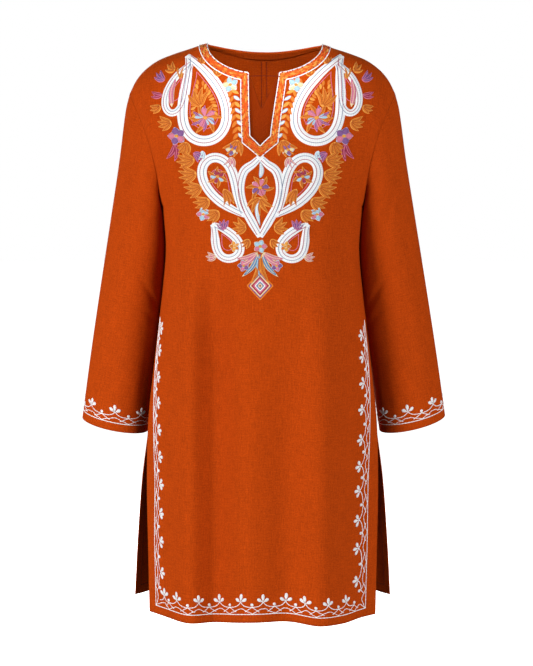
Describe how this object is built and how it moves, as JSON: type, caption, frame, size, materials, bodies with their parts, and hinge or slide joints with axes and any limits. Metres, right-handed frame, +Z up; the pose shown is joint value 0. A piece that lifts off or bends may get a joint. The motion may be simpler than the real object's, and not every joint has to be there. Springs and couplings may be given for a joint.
{
  "type": "kurta tunic",
  "caption": "Long-sleeved rust kurta tunic in worn, hollow form, with a slit neck, embroidered band and open side slits.",
  "frame": {"origin": "middle of the neck at the height where the shoulder seams meet the neck, where the wearer's shoulders hold the garment", "axes": "+Z up, the garment's front faces -Y, and the wearer's left is +X"},
  "size_m": [0.6076, 0.2415, 0.9392],
  "materials": {
    "front_cloth": "matte plain weave, rust orange, with embroidery",
    "back_cloth": "matte plain weave, rust orange",
    "sleeve_cloth": "matte plain weave, rust orange, with an embroidered cuff border",
    "band": "dense orange chain stitch with white edges",
    "inner_cloth": "matte plain weave, wrong side",
    "white_thread": "white embroidery thread",
    "coloured_thread": "orange, pink, purple and blue embroidery thread"
  },
  "bodies": {
    "root": {"front": "front_cloth", "back_left": "back_cloth", "back_right": "back_cloth", "sleeve_left": "sleeve_cloth", "sleeve_right": "sleeve_cloth", "neck_band": "band", "slit_inset": "inner_cloth", "back_neck_facing": "inner_cloth", "centre_back_seam": "inner_cloth"}
  },
  "joints": []
}
